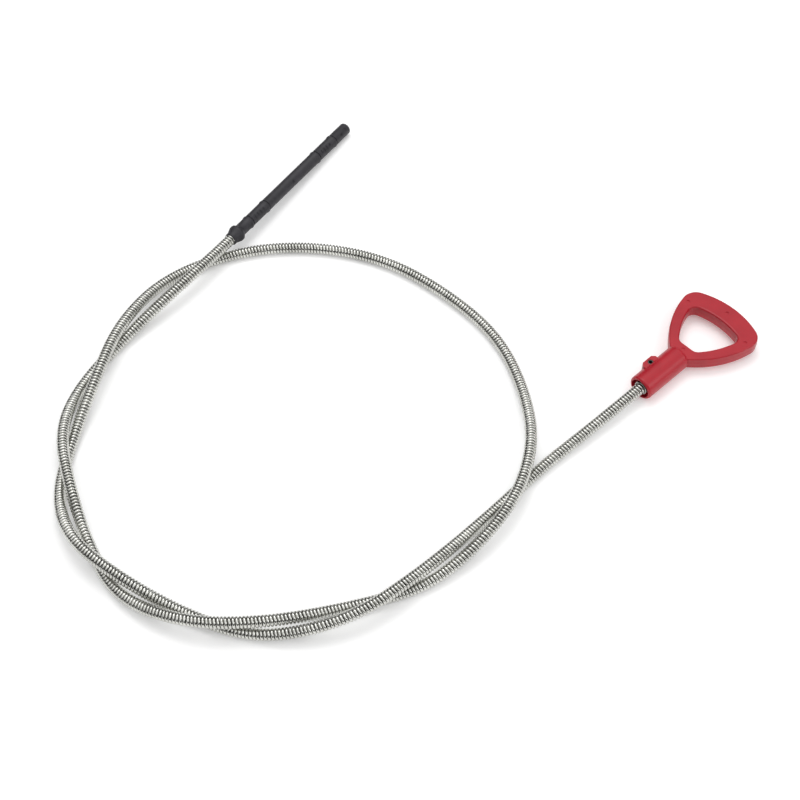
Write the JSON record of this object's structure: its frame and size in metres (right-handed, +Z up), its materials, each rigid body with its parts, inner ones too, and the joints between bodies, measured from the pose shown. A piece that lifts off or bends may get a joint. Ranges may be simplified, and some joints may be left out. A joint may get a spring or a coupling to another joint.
{
  "type": "flexible dipstick tool",
  "caption": "Flexible fluid-level dipstick: finger-loop handle on a swivelling neck, coil-spring shaft with a core cable, and a ringed measuring tip.",
  "frame": {"origin": "centre of the handle's mouth, where the shaft enters it, on the axis that the handle swivels about", "axes": "+X along the handle's neck from the mouth towards the finger loop, +Z up from the surface that the tool lies on, +Y to the left of the neck"},
  "size_m": [0.2829, 0.2247, 0.0118],
  "materials": {
    "handle_plastic": "moulded, satin",
    "pin_steel": "dull, oiled",
    "ferrule_steel": "turned, zinc plated",
    "coil_steel": "bright nickel plated wire",
    "cable_steel": "galvanised wire",
    "tip_plastic": "moulded, fine matt"
  },
  "bodies": {
    "shaft": {"coil_shaft": "coil_steel", "core_cable": "cable_steel", "core_stop": "ferrule_steel", "handle_ferrule": "ferrule_steel", "measuring_tip": "tip_plastic"},
    "grip": {"handle": "handle_plastic", "lock_pin": "pin_steel"}
  },
  "joints": [
    {"name": "handle_swivel", "type": "hinge", "parent": "shaft", "child": "grip", "pos_m": [0, 0, 0], "axis": [1, 0, 0], "continuous": true}
  ]
}
